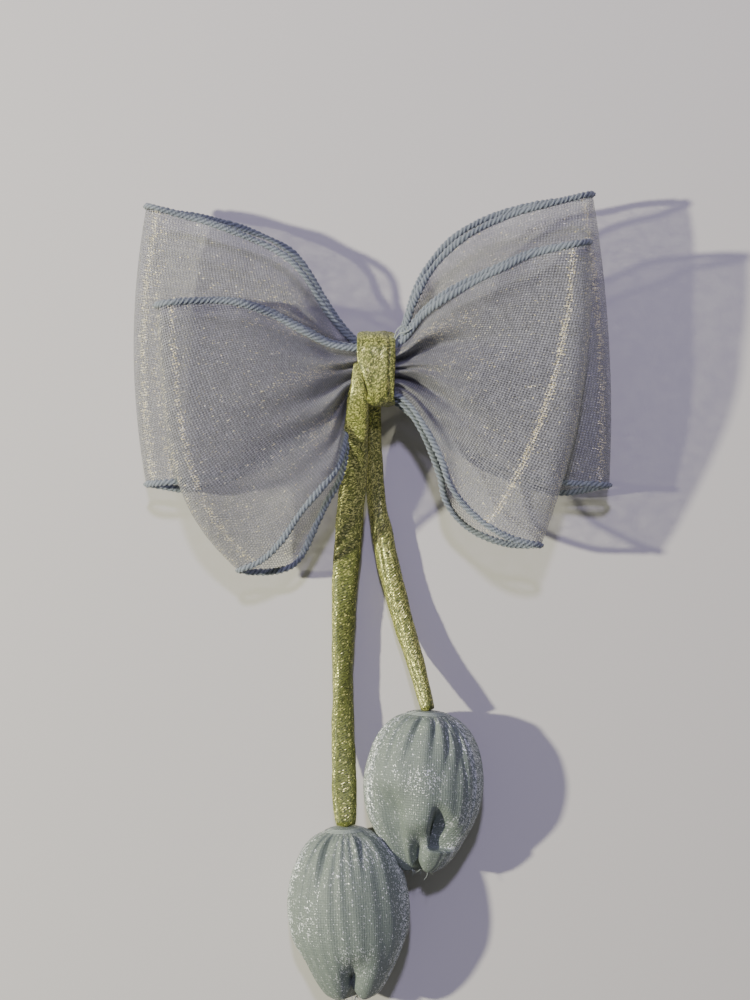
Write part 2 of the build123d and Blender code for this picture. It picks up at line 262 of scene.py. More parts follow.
class Nodes:
    """A material's node tree, with short calls to add and link nodes."""

    def __init__(self, name):
        self.material = bpy.data.materials.new(name)
        self.material.use_nodes = True
        self.tree = self.material.node_tree
        self.shader = self.tree.nodes["Principled BSDF"]

    def add(self, kind, settings=None, **inputs):
        node = self.tree.nodes.new(kind)
        for key, value in (settings or {}).items():
            setattr(node, key, value)
        for key, value in inputs.items():
            self.feed(node.inputs[key.replace("_", " ")], value)
        return node

    def feed(self, socket, value):
        if isinstance(value, bpy.types.NodeSocket):
            self.tree.links.new(value, socket)
        else:
            socket.default_value = value

    def math(self, operation, a, b=0.0, clamp=False):
        node = self.tree.nodes.new("ShaderNodeMath")
        node.operation = operation
        node.use_clamp = clamp
        self.feed(node.inputs[0], a)
        self.feed(node.inputs[1], b)
        return node.outputs[0]

    def times(self, a, b):
        return self.math("MULTIPLY", a, b)

    def look(self, **inputs):
        """Sets the shader's inputs, with _ for each space in their names."""
        for key, value in inputs.items():
            self.feed(self.shader.inputs[key.replace("_", " ")], value)

    def mix(self, factor, a, b):
        """A colour between a and b."""
        node = self.tree.nodes.new("ShaderNodeMix")
        node.data_type = "RGBA"
        self.feed(node.inputs[0], factor)
        self.feed(node.inputs[6], a)
        self.feed(node.inputs[7], b)
        return node.outputs[2]

    def blend(self, factor, a, b):
        """A number between a and b."""
        node = self.tree.nodes.new("ShaderNodeMix")
        node.data_type = "FLOAT"
        self.feed(node.inputs[0], factor)
        self.feed(node.inputs[2], a)
        self.feed(node.inputs[3], b)
        return node.outputs[0]

    def ramp(self, value, low, high):
        """0 at low, 1 at high, smooth between."""
        node = self.tree.nodes.new("ShaderNodeMapRange")
        node.clamp = True
        node.interpolation_type = "SMOOTHSTEP"
        self.feed(node.inputs["Value"], value)
        node.inputs["From Min"].default_value = low
        node.inputs["From Max"].default_value = high
        return node.outputs[0]

    def noise(self, scale, detail=2.0, rough=0.5, vector=None):
        node = self.add("ShaderNodeTexNoise", Scale=scale, Detail=detail, Roughness=rough)
        if vector is not None:
            self.feed(node.inputs["Vector"], vector)
        return node.outputs["Fac"]

    def cells(self, vector):
        """Small cells, each with a random colour, for flecks."""
        return self.add("ShaderNodeTexVoronoi", Vector=vector, Scale=1.0)

    def coords(self):
        return self.tree.nodes.new("ShaderNodeTexCoord").outputs["Object"]

    def uv(self):
        return self.add("ShaderNodeUVMap", {"uv_map": "cloth"}).outputs[0]

    def field(self, name):
        """A number that the mesh holds at each point."""
        return self.add("ShaderNodeAttribute", {"attribute_name": name}).outputs["Fac"]

    def wave(self, coordinate, pitch):
        """0..1 and back over each pitch, in metres."""
        sine = self.math("SINE", self.times(coordinate, 2 * math.pi / pitch))
        raised = self.math("MULTIPLY_ADD", sine, 0.5)
        raised.node.inputs[2].default_value = 0.5
        return raised

    def turned(self, vector, angle):
        node = self.add("ShaderNodeMapping", Vector=vector)
        node.inputs["Rotation"].default_value = (0.0, 0.0, angle)
        return node.outputs[0]

    def stretched(self, vector, x, y):
        node = self.add("ShaderNodeMapping", Vector=vector)
        node.inputs["Scale"].default_value = (x, y, 1.0)
        return node.outputs[0]

    def split(self, vector):
        return self.add("ShaderNodeSeparateXYZ", Vector=vector).outputs

    def bump(self, height, strength, distance, normal=None):
        node = self.add("ShaderNodeBump", Height=height, Strength=strength, Distance=distance)
        if normal is not None:
            self.feed(node.inputs["Normal"], normal)
        return node.outputs[0]


THREAD_PITCH = 0.00062        # between two threads of the woven cloths, metres
TWILL_PITCH = 0.00070         # between two ribs of the green satin, metres
FIBRE_PITCH = 0.00036         # between two fibres of the edge stitching, metres
FIBRE_SLANT = 0.171887         # how far the fibres lean round the rope


def rgb(r, g, b):
    return (r, g, b, 1.0)


def weave(n, u, v, pitch):
    """Warp and weft threads, 0..1 each, with a little unevenness."""
    wobble = n.times(n.noise(260.0, 1.0), pitch * 0.9)
    u2 = n.math("ADD", u, wobble)
    v2 = n.math("ADD", v, wobble)
    out = []
    for c in (u2, v2):
        out.append(n.wave(c, pitch))
    return out


def organza():
    """Sheer lilac-grey organza: a fine grid of threads, with gold and silver ones whose glints are painted
    into the colour, and painted shade in its gathers and creases.
    """
    n = Nodes("organza")
    uv = n.uv()
    u, v, _ = n.split(n.turned(uv, 0.20))
    warp, weft = weave(n, u, v, THREAD_PITCH)
    thread = n.math("MAXIMUM", warp, weft)
    crossing = n.times(warp, weft)
    cloud = n.noise(60.0, 3.0)
    flecks = n.cells(n.stretched(uv, 2100.0, 4200.0))
    fleck = n.split(flecks.outputs["Color"])[0]
    broken = n.ramp(n.noise(520.0, 2.0), 0.30, 0.62)
    few = n.times(n.ramp(n.noise(110.0, 2.0), 0.50, 0.70), 0.08)
    # painted glints: flecks of the metallic threads, thick in the shine bands near the folds and few
    # elsewhere, get a bright silver and gold colour
    share = n.math("MAXIMUM", n.times(n.times(n.field("shine"), broken), 0.85), few)
    glint = n.times(n.math("LESS_THAN", fleck, share), n.ramp(thread, 0.25, 0.75))
    gold = n.ramp(n.noise(300.0, 1.0), 0.38, 0.55)
    metal = n.mix(gold, rgb(0.90, 0.89, 0.86), rgb(0.98, 0.84, 0.40))
    base = n.mix(cloud, rgb(0.178, 0.181, 0.187), rgb(0.252, 0.254, 0.262))
    base = n.mix(n.times(crossing, 0.70), base, rgb(0.52, 0.52, 0.55))
    # painted shade: the colour darkens where the fold field marks gathers, creases and lapped cloth; the
    # same field makes the cloth less see-through below
    fold = n.field("fold")
    base = n.mix(n.times(fold, 0.48), base, rgb(0.070, 0.070, 0.086))
    base = n.mix(n.times(glint, 0.92), base, metal)
    uneven = n.blend(n.ramp(n.noise(34.0, 1.0), 0.35, 0.65), -0.07, 0.09)
    sheer = n.math("ADD", uneven, n.times(fold, 0.26))
    alpha = n.math("ADD", n.blend(n.ramp(thread, 0.34, 0.95), 0.06, 0.74), sheer, True)
    alpha = n.math("MAXIMUM", alpha, n.times(glint, 0.90))
    n.look(Base_Color=base, Alpha=alpha, Roughness=n.blend(glint, 0.50, 0.32),
           Metallic=n.times(glint, 0.35), Sheen_Weight=0.22, Sheen_Roughness=0.35,
           Sheen_Tint=rgb(0.90, 0.90, 0.96), Normal=n.bump(n.math("ADD", warp, weft), 0.6, 0.00018))
    return n.material


def overlock():
    """Dusty-blue textured nylon thread of the edge stitching, with painted shade between its wound strands
    and lighter flecks painted in as glints.
    """
    n = Nodes("overlock")
    uv = n.uv()
    u, v, _ = n.split(uv)
    fleck = n.noise(1500.0, 3.0, 0.6)
    patch = n.noise(160.0, 2.0)
    fibre = n.wave(n.math("ADD", u, n.times(v, FIBRE_SLANT)), FIBRE_PITCH)
    base = n.mix(patch, rgb(0.180, 0.212, 0.235), rgb(0.285, 0.320, 0.345))
    base = n.mix(n.times(fibre, 0.40), base, rgb(0.36, 0.41, 0.44))
    # painted glints: lighter flecks scattered over the rope
    base = n.mix(n.ramp(fleck, 0.58, 0.76), base, rgb(0.56, 0.61, 0.63))
    # painted shade: darker where the rope sinks between its strands
    strand_gap_shade = n.times(n.field("fold"), n.blend(n.ramp(n.noise(700.0, 2.0), 0.30, 0.60), 0.35, 0.95))
    base = n.mix(strand_gap_shade, base, rgb(0.070, 0.085, 0.100))
    n.look(Base_Color=base, Roughness=n.blend(fleck, 0.45, 0.75), Sheen_Weight=0.3, Sheen_Roughness=0.4,
           Normal=n.bump(n.math("ADD", fibre, fleck), 0.6, 0.00015))
    return n.material


def green_satin():
    """Olive satin with a diagonal twill and gold flecks, which are painted bright as glints where it
    shines.
    """
    n = Nodes("green_satin")
    uv = n.uv()
    u, v, _ = n.split(uv)
    slant = n.math("ADD", u, n.times(v, 0.8))
    rib = n.wave(slant, TWILL_PITCH)
    flecks = n.cells(n.stretched(n.turned(uv, 0.6), 3000.0, 4300.0))
    fleck = n.split(flecks.outputs["Color"])
    lively = n.times(n.ramp(n.noise(420.0, 3.0), 0.28, 0.66), n.field("shine"))
    glint = n.math("LESS_THAN", fleck[0], n.blend(lively, 0.05, 0.42))
    shade = n.math("LESS_THAN", fleck[1], 0.36)
    cloud = n.noise(70.0, 3.0)
    base = n.mix(cloud, rgb(0.116, 0.138, 0.020), rgb(0.186, 0.212, 0.036))
    base = n.mix(n.times(rib, 0.30), base, rgb(0.22, 0.245, 0.070))
    base = n.mix(n.times(shade, 0.75), base, rgb(0.040, 0.050, 0.006))
    # painted glints: bright gold flecks, thick where the shine field is high
    base = n.mix(n.times(glint, 0.92), base, rgb(0.82, 0.80, 0.25))
    fine = n.bump(flecks.outputs["Distance"], 0.25, 0.00008)
    n.look(Base_Color=base, Roughness=n.blend(glint, 0.48, 0.30), Metallic=n.times(glint, 0.40),
           Sheen_Weight=0.10, Sheen_Roughness=0.4, Sheen_Tint=rgb(0.9, 0.95, 0.6),
           Normal=n.bump(rib, 0.35, 0.00014, fine))
    return n.material


def bud_satin():
    """Sage-green shimmer cloth: fine lengthwise threads and patches of white glitter, whose glints are
    painted into the colour.
    """
    n = Nodes("bud_satin")
    uv = n.uv()
    u, v, _ = n.split(uv)
    warp, weft = weave(n, u, v, THREAD_PITCH)
    flecks = n.cells(n.stretched(n.turned(uv, 0.5), 3000.0, 4300.0))
    fleck = n.split(flecks.outputs["Color"])
    patch = n.ramp(n.noise(330.0, 4.0), 0.38, 0.62)
    rich = n.times(n.times(n.field("shine"), patch), 0.62)
    few = n.times(n.ramp(n.noise(90.0, 2.0), 0.46, 0.68), 0.11)
    # painted glints: white flecks, thick where the shine field is high and in patches, few elsewhere
    glint = n.math("LESS_THAN", fleck[0], n.math("MAXIMUM", rich, few))
    cloud = n.noise(70.0, 3.0)
    base = n.mix(cloud, rgb(0.124, 0.158, 0.128), rgb(0.200, 0.236, 0.196))
    base = n.mix(n.times(warp, 0.30), base, rgb(0.27, 0.32, 0.27))
    base = n.mix(n.times(n.math("LESS_THAN", fleck[1], 0.2), 0.35), base, rgb(0.10, 0.13, 0.12))
    base = n.mix(n.times(glint, 0.90), base, rgb(0.90, 0.93, 0.90))
    fine = n.bump(flecks.outputs["Distance"], 0.35, 0.0001)
    n.look(Base_Color=base, Roughness=n.blend(glint, 0.50, 0.28), Metallic=n.times(glint, 0.35),
           Sheen_Weight=0.15, Sheen_Roughness=0.35, Sheen_Tint=rgb(0.85, 0.95, 0.90),
           Normal=n.bump(n.math("ADD", warp, weft), 0.4, 0.00012, fine))
    return n.material


def plain(name, grain, dark, light, roughness, strength, distance):
    """A matt material with one grain in its colour and its surface."""
    n = Nodes(name)
    fine = n.noise(*grain)
    n.look(Base_Color=n.mix(fine, dark, light), Roughness=roughness,
           Normal=n.bump(fine, strength, distance))
    return n.material


def steel(name, colour, roughness, grain):
    """Nickelled steel with fine lengthwise grain, small scratches and a few dull spots."""
    n = Nodes(name)
    lines = n.noise(grain, 4.0, 0.6, n.stretched(n.coords(), 30.0, 1.0))
    spots = n.noise(240.0, 3.0)
    base = n.mix(spots, colour, tuple(0.82 * c for c in colour[:3]) + (1.0,))
    n.look(Base_Color=base, Metallic=1.0, Roughness=n.blend(lines, roughness * 0.7, roughness * 1.4),
           Normal=n.bump(lines, 0.12, 0.00005))
    return n.material


def table_top():
    n = Nodes("table_top")
    soft = n.noise(9.0, 3.0)
    grain = n.noise(700.0, 3.0)
    n.look(Base_Color=n.mix(soft, rgb(0.60, 0.582, 0.537), rgb(0.65, 0.632, 0.586)), Roughness=0.6,
           Normal=n.bump(grain, 0.05, 0.0001))
    return n.material


# ------------------------------------------------------------------ organza loops

# Each loop: its outward direction, reach, height of the gathers, rise to the fold and tilt across
# it, how far the fold bows out and how much of that is skewed to its lower end, and how far the
# rear layer's upper and lower edges stand outside.
LOOPS = {
    "left_back": dict(turn=180.0, reach=60.2, z=13.0,
        rise=-1.5, roll=-2.0, bow=3.2, skew=0.0, spread=(2.6, 1.8), seed=3),
    "left_front": dict(turn=196.5, reach=52.0, z=18.0,
        rise=4.6, roll=-5.0, bow=7.0, skew=0.50, spread=(1.2, 2.0), seed=5),
    "right_back": dict(turn=4.4, reach=57.8, z=13.0,
        rise=-0.5, roll=5.0, bow=2.0, skew=0.0, spread=(2.4, 1.8), seed=7),
    "right_front": dict(turn=-8.5, reach=49.8, z=18.0,
        rise=6.0, roll=5.0, bow=4.0, skew=0.0, spread=(1.9, 2.8), seed=11),
}

# Hem lines in plan, from the middle of the knot to the fold's corner.
HEMS = {
    "left_back": (
        [(0, 1.4), (-4.7, 2.4), (-8.4, 5.6), (-13.0, 11.5), (-17.5, 18.6), (-23.0, 24.0),
         (-36.0, 30.0), (-57.0, 36.3)],
        [(0, -11.4), (-4.7, -11.8), (-9.0, -14.2), (-18.0, -20.0), (-30.0, -27.0), (-44.0, -31.2),
         (-57.4, -32.6)],
    ),
    "left_front": (
        [(0, 1.2), (-4.7, 0.6), (-11.3, 1.6), (-18.6, 5.2), (-26.0, 8.8), (-33.5, 11.2), (-43.1, 11.6),
         (-53.4, 10.6)],
        [(0, -11.2), (-4.2, -12.2), (-6.8, -15.4), (-7.8, -21.5), (-9.6, -28.8), (-13.6, -33.8),
         (-18.6, -39.8), (-23.4, -46.8), (-28.0, -51.2), (-34.2, -54.0)],
    ),
    "right_back": (
        [(0, 1.4), (4.7, 1.8), (7.0, 5.6), (9.4, 12.4), (13.6, 20.0), (20.6, 27.0), (31.0, 32.6),
         (41.0, 35.6), (53.4, 39.0)],
        [(0, -11.4), (4.7, -11.6), (9.0, -14.4), (18.0, -21.0), (30.0, -28.0), (44.0, -31.8),
         (58.2, -32.8)],
    ),
    "right_front": (
        [(0, 1.2), (4.7, 1.4), (7.2, 3.2), (11.0, 8.0), (16.0, 11.8), (22.7, 15.5), (30.0, 19.0),
         (37.2, 22.4), (51.6, 25.8)],
        [(0, -11.2), (4.7, -10.6), (7.8, -12.6), (12.4, -19.4), (16.2, -27.2), (17.6, -32.0),
         (21.2, -37.4), (26.4, -42.2), (33.2, -46.0), (40.3, -47.6)],
    ),
}

# Where a rear layer hangs out past the front one's lower edge: place along the loop, how wide
# and how far in mm.
HANGS = {
    "left_back": (0.80, 0.14, 1.2),
    "left_front": (0.70, 0.20, 6.0),
    "right_back": (0.80, 0.14, 1.5),
    "right_front": (0.60, 0.20, 1.5),
}

# Creases that run out from the knot: place across the strip, width, depth in mm, how far out.
CREASES = {
    "left_back": [(0.1, 0.10, 1.6, 0.40), (-0.45, 0.12, 1.4, 0.45)],
    "left_front": [
        (0.38, 0.10, 2.4, 0.50), (0.02, 0.09, 3.0, 0.55), (-0.34, 0.10, 3.4, 0.66),
        (-0.72, 0.09, 2.2, 0.6),
    ],
    "right_back": [(0.2, 0.10, 1.6, 0.40), (-0.3, 0.12, 1.4, 0.40)],
    "right_front": [
        (0.42, 0.09, 4.0, 0.60), (0.04, 0.06, 3.4, 0.42), (-0.26, 0.07, 3.4, 0.50),
        (-0.64, 0.09, 2.6, 0.56),
    ],
}

# How much denser and darker the lower half looks where the cloth laps over itself: less see-through, and
# darker in colour.
OVERLAP = {"left_back": 0.0, "left_front": 0.34, "right_back": 0.12, "right_front": 0.0}

ACROSS = 220                  # points across a strip's width
ALONG = 230                   # points along each loop, round its fold
FOLD_HALF = 4.3               # half the height of a loop at its fold
NECK = 0.9                    # and where it leaves the knot


def loop_profile(reach):
    """The strip's path seen from its edge: the share of the reach, and the height."""
    straight = np.linspace(0, 1, 200)
    fold_x = reach - FOLD_HALF
    rise = NECK + (FOLD_HALF - NECK) * smoothstep(0.0, 1.0, straight) ** 0.85
    belly = 0.54 * np.sin(math.pi * straight) ** 2
    front = np.stack([straight * fold_x, rise + belly], 1)
    a = np.linspace(math.pi / 2, -math.pi / 2, 60)[1:-1]
    fold = np.stack([fold_x + FOLD_HALF * np.cos(a), FOLD_HALF * np.sin(a)], 1)
    back = np.stack([front[::-1, 0], -front[::-1, 1]], 1)
    line = resample(np.vstack([front, fold, back]), ALONG)
    return line[:, 0] / reach, line[:, 1]


def pleats(name, f, s, layer):
    """Height of the gathers, tight at the knot and wide and soft further out, and how densely the cloth
    lies there, which also sets the painted shade in the gathers, in the pleats' hollows and beside the
    creases."""
    seed = LOOPS[name]["seed"]
    drift = 0.14 * wave_noise(seed, 3 * f, 2.0 * s)
    p = s + drift
    tight = 1.30 * np.exp(-((f / 0.11) ** 1.6)) * np.sin(math.pi * 5.5 * p + seed)
    mid = 1.90 * hump(f, 0.19, 0.19) * np.sin(math.pi * 3.1 * p + 0.7 * seed)
    wide = 1.30 * hump(f, 0.48, 0.28) * np.sin(math.pi * 1.7 * p + 1.3 * seed)
    soft = 0.60 * smoothstep(0.2, 0.6, f) * wave_noise(seed + 20, 5 * f, 3.5 * s)
    front = smoothstep(-0.5, 0.5, layer)
    valleys, dense_and_shaded = 0.0, 0.0
    for place, width, depth, reach in CREASES[name]:
        spread = width * (0.7 + 1.3 * f)
        bent = s - place - 0.10 * f * np.sin(3.0 * place + seed)
        fade = np.exp(-((f / reach) ** 2)) * smoothstep(0.02, 0.10, f)
        valleys = valleys - depth * hump(bent, 0, spread) * fade
        dense_and_shaded = dense_and_shaded + hump(bent, -0.3 * spread, 0.75 * spread) * np.exp(-((f / (0.8 * reach)) ** 2))
    height = tight + (mid + wide + soft) * (0.55 + 0.45 * front) + valleys * front
    # painted shade: near the knot, where the pleats sink and beside each crease, the fold value darkens
    # the cloth's colour; it also thickens the cloth
    low = smoothstep(0.4, -2.2, tight + mid)
    gathered = 0.26 * np.exp(-((f / 0.16) ** 2)) + 0.32 * low * np.exp(-((f / 0.30) ** 2))
    lap = OVERLAP[name] * smoothstep(0.2, -0.35, s) * smoothstep(0.25, 0.60, f) * front
    return height, np.clip(gathered + 0.75 * dense_and_shaded * front + lap, 0, 1)


# Painted glints of the bright threads, where the cloth turns at the fold: place (share of the reach) at
# the lower and the upper edge, width, and strength.
PAINTED_GLINT_BANDS = {
    "left_back": [(0.965, 0.950, 0.013, 0.75), (0.885, 0.92, 0.010, 0.35)],
    "left_front": [(0.92, 0.93, 0.011, 0.75), (0.99, 0.99, 0.012, 0.35)],
    "right_back": [(0.96, 0.96, 0.012, 0.7)],
    "right_front": [(0.74, 0.925, 0.0115, 1.3), (0.985, 0.985, 0.012, 0.3)],
}


def glitter(name, f, s, layer):
    """How thickly painted glints of its bright threads are sprinkled on the front layer."""
    t = (s + 1) / 2
    total = np.zeros((f * s).shape)
    for low, high, width, strength in PAINTED_GLINT_BANDS[name]:
        total = total + strength * hump(f, low + (high - low) * t**0.6, width)
    patches = smoothstep(0.0, 0.7, wave_noise(LOOPS[name]["seed"] + 40, 4 * f, 7 * s))
    near = 0.30 * hump(f, 0.30, 0.22) * patches
    return np.clip(total + near, 0, 1) * smoothstep(-0.6, 0.4, layer)


def loop_grid(name):
    """The cloth of one loop: a grid along the strip and across it, in mm, and its UVs in metres."""
    spec = LOOPS[name]
    upper, lower = (smooth_line(line, 400) for line in HEMS[name])
    f, w = loop_profile(spec["reach"])
    f2, w2 = f[:, None], w[:, None]
    s = np.linspace(-1, 1, ACROSS)[None, :]
    layer = w2 / FOLD_HALF
    rear = 1 - smoothstep(-0.3, 0.3, layer)

    def pick(line):
        at = np.linspace(0, 1, len(line))
        return np.stack([np.interp(f, at, line[:, k]) for k in range(2)], 1)[:, None, :]

    top, low = pick(upper), pick(lower)
    t = (s + 1)[..., None] / 2
    plan = (1 - t) * low + t * top
    # the rear layer's edges stand a little outside the front's, between the knot and the fold
    out = np.sin(math.pi * np.clip(f2, 0, 1)) ** 0.8 * rear
    place, width, far = HANGS[name]
    low_edge = spec["spread"][1] * out + far * hump(f2, place, width) * rear * smoothstep(1.0, 0.96, f2)
    shift = out * spec["spread"][0] * smoothstep(0.2, 1, s) - low_edge * smoothstep(0.2, 1, -s)
    across = top - low
    across = across / np.linalg.norm(across, axis=2)[..., None]
    plan = plan + shift[..., None] * across
    angle = math.radians(spec["turn"])
    outward = np.array([math.cos(angle), math.sin(angle)])
    bow = spec["bow"] * (1 - s**2) * (1 - spec["skew"] * s) * smoothstep(0.35, 1.0, f2)
    plan = plan + bow[..., None] * outward
    # a slight ripple of the free edges
    seed = spec["seed"]
    edge = np.abs(s) ** 6
    ripple = 0.5 * edge * np.sin(22 * f2 + seed + 2.0 * np.sign(s)) * smoothstep(0.1, 0.3, f2)
    away = plan[..., 0] * outward[0] + (plan[..., 1] - KNOT_Y) * outward[1]
    side = -plan[..., 0] * outward[1] + (plan[..., 1] - KNOT_Y) * outward[0]
    z = spec["z"] + spec["rise"] * away / spec["reach"] + math.tan(math.radians(spec["roll"])) * side
    puff = 1 + 0.10 * (1 - s**2) - 0.15 * edge
    height, fold = pleats(name, f2, s, layer)
    z = z + w2 * puff + height + ripple + droop(name, f2, s, rear)
    grid = np.stack([plan[..., 0], plan[..., 1], z], -1)
    u = lengths(np.stack([f * spec["reach"], w], 1))[:, None] * MM
    v = s * RIBBON_WIDTH / 2 * MM
    return grid, (u, v), glitter(name, f2, s, layer), fold


def droop(name, f, s, rear):
    """Where a loop's edge sinks: under the left stem, and at the corners that hang."""
    place, width, far = HANGS[name]
    hang = -0.28 * far * hump(f, place, width) * rear * smoothstep(0.3, 1.0, -s)
    if name != "left_front":
        return hang
    tucked = -1.6 * hump(f, 0.08, 0.10) * smoothstep(0.2, -0.3, s)
    under_stem = tucked - 9.0 * hump(f, 0.16, 0.14) * smoothstep(0.35, 0.95, -s) * (0.6 + 0.4 * (1 - rear))
    return hang + under_stem - 5.5 * smoothstep(0.55, 1.0, f) * smoothstep(0.35, 1.0, -s)


def make_ribbon(layer, material):
    """One organza strip with its two loops, and the lines of its edges."""
    meshes, edges = [], {}
    for side in ("left", "right"):
        grid, uv, shine, fold = loop_grid(f"{side}_{layer}")
        meshes.append(grid_mesh(f"{side}_{layer}", grid, uv, shine=shine, fold=fold))
        edges[side] = {"lower": grid[:, 0], "upper": grid[:, -1]}
    o = piece(f"{layer}_organza", meshes, material)
    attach(o, "bow")
    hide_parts(f"{layer}_ribbon")
    return o, edges


def hem_mesh(name, line):
    """An overlocked edge: a rope of three strands wound round the cloth's edge."""
    count = int(lengths(line)[-1] / HEM_STEP)
    line = resample(line, count)
    along = lengths(line)
    uneven = wave_noise(len(name), 0.35 * along)
    drift = 1.5 * wave_noise(len(name) + 5, 0.8 * along) + 0.9 * wave_noise(len(name) + 9, 2.2 * along)

    def phase(a):
        return STRANDS * a + (drift - 2 * math.pi * along / ROPE_PITCH)[:, None]

    def strands(_, a):
        knots = 0.06 * wave_noise(len(name) + 2, 2.6 * along[:, None], 2.0 * np.cos(a))
        return 0.17 * np.cos(phase(a)) + 0.06 * np.cos(2 * phase(a) + uneven[:, None]) + knots

    up = np.tile(np.array([0.0, 0.0, 1.0]), (count, 1))
    upright = np.linalg.norm(np.cross(directions(line), up), axis=1) < 0.2
    up[upright] = (0.0, 1.0, 0.0)
    hw, ht = rounded_ends(line, HEM_HALF_WIDE * (1 + 0.16 * uneven), np.full(count, HEM_HALF_THICK))
    grid = tube(line, hw, ht, up, segments=16, lift=strands)
    a = np.linspace(0, 1, 16, endpoint=False)[None, :]
    # painted shade: marks where the rope sinks between its strands, for the fold field
    between = smoothstep(0.45, -0.85, np.cos(phase(2 * math.pi * a)))
    uv = (along[:, None] * MM, a * ROPE_UV)
    return grid_mesh(name, grid, uv, wrap_cols=True, caps=True, fold=between)


def make_hems(layer, edges, material):
    """The stitched upper and lower edges of a strip, outside the band."""
    made = []
    for edge in ("upper", "lower"):
        meshes = []
        for side in ("left", "right"):
            line = edges[side][edge]
            outside = np.abs(line[:, 0]) > KNOT_HALF
            meshes.append(hem_mesh(f"{side}_{layer}_{edge}", line[outside]))
        o = piece(f"{layer}_{edge}_overlock", meshes, material)
        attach(o, "bow")
        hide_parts(f"{layer}_{edge}_hem")
        made.append(o)
    return made


# ------------------------------------------------------------------ band and stems

def band_mesh():
    """The flattened satin tube that goes once round the gathers and the clip's plate."""
    low, high = (np.array(c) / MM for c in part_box("centre_band"))
    cy, cz = (low[1] + high[1]) / 2, (low[2] + high[2]) / 2
    hy, hz = (high[1] - low[1]) / 2 - 0.55, (high[2] - low[2]) / 2 - 0.55
    count = 220
    a = np.linspace(0, 2 * math.pi, count, endpoint=False)
    y = cy + hy * squarish(np.cos(a), 3.4)
    z = cz + hz * squarish(np.sin(a), 3.4)
    y = y - 1.7 * smoothstep(low[2] + 4, high[2], z) * smoothstep(cy, high[1], y)
    closed = np.stack([np.zeros(count), y, z], 1)
    loop = resample(np.vstack([closed, closed[:1]]), count + 1)[:-1]
    segments = 96
    b = np.linspace(0, 2 * math.pi, segments, endpoint=False)[None, :]
    x, t = squarish(np.cos(b), 3.0), squarish(np.sin(b), 3.0)
    tangent = np.roll(loop, -1, 0) - np.roll(loop, 1, 0)
    tangent /= np.linalg.norm(tangent, axis=1)[:, None]
    normal = np.cross(tangent, np.array([1.0, 0, 0]))
    if np.dot(normal[0], loop[0] - loop.mean(0)) < 0:
        normal = -normal
    front = smoothstep(cz + 2, high[2] - 1, loop[:, 2])[:, None]
    down = (1 - smoothstep(-12.0, -1.0, loop[:, 1]))[:, None]
    # the left edge is drawn in towards the lower end, where the stem comes out from under it
    left_in = 2.9 * front * down
    half_left, half_right = 4.7 - left_in, 4.7 - 0.35 * down * front
    px = np.where(x < 0, x * half_left, x * half_right)
    thick = 0.5 + 0.10 * np.cos(3 * b + 0.08 * np.arange(count)[:, None])
    along = lengths(np.vstack([loop, loop[:1]]))[:-1][:, None]
    fold = (0.34 * smoothstep(3.05, 2.80, px) - 0.16 * hump(px, 3.05, 0.14)) * front
    fold = fold + 0.10 * np.sin(px * 1.3 + along * 0.35) + 0.05 * np.sin(px * 3.1 - along * 0.7)
    crown = 0.35 * (1 - (px / 4.9) ** 2)
    outer = np.where(t > 0, fold + crown, 0.3 * crown)
    off = t * thick + outer * np.abs(t) ** 0.3
    grid = loop[:, None, :] + off[..., None] * normal[:, None, :]
    grid[..., 0] = px
    uv = (along * MM, px * MM)
    # painted glints: the band's satin is flecked with bright glints all over
    return grid_mesh("band", grid, uv, wrap_rows=True, wrap_cols=True, shine=1.0)


# The stems' middle lines, from the knot to the buds' necks.
LEFT_ROUTE = [
    (-4.5, -2.6, 20.3), (-4.4, -8.6, 20.3), (-4.6, -13.4, 18.2), (-4.9, -18.8, 13.6),
    (-5.4, -27.0, 10.2), (-6.4, -39.0, 6.6), (-7.6, -52.0, 4.5), (-8.3, -66.0, 3.7),
    (-8.5, -80.0, 3.6), (-8.4, -94.0, 4.1), (-8.1, -107.0, 6.3), (-7.6, -118.2, 10.4),
]
RIGHT_ROUTE = [
    (-1.0, -11.8, 8.6), (-1.2, -16.0, 7.0), (-0.9, -26.0, 4.9), (0.0, -37.0, 3.6),
    (2.2, -49.0, 3.0), (5.0, -61.0, 3.2), (8.2, -72.0, 4.6), (11.0, -81.0, 7.0),
    (13.0, -89.2, 10.4),
]


def route_points(name, route):
    """Points along the route's NURBS spline, in mm."""
    curve = bpy.data.curves.new(name, "CURVE")
    curve.dimensions = "3D"
    curve.resolution_u = 32
    spline = curve.splines.new("NURBS")
    spline.points.add(len(route) - 1)
    for point, (x, y, z) in zip(spline.points, route):
        point.co = (x * MM, y * MM, z * MM, 1)
    spline.order_u = 3
    spline.use_endpoint_u = True
    holder = bpy.data.objects.new(name, curve)
    mesh = bpy.data.meshes.new_from_object(holder)
    points = np.array([v.co[:] for v in mesh.vertices]) / MM
    bpy.data.objects.remove(holder)
    return points


STEM_SEGMENTS = 48


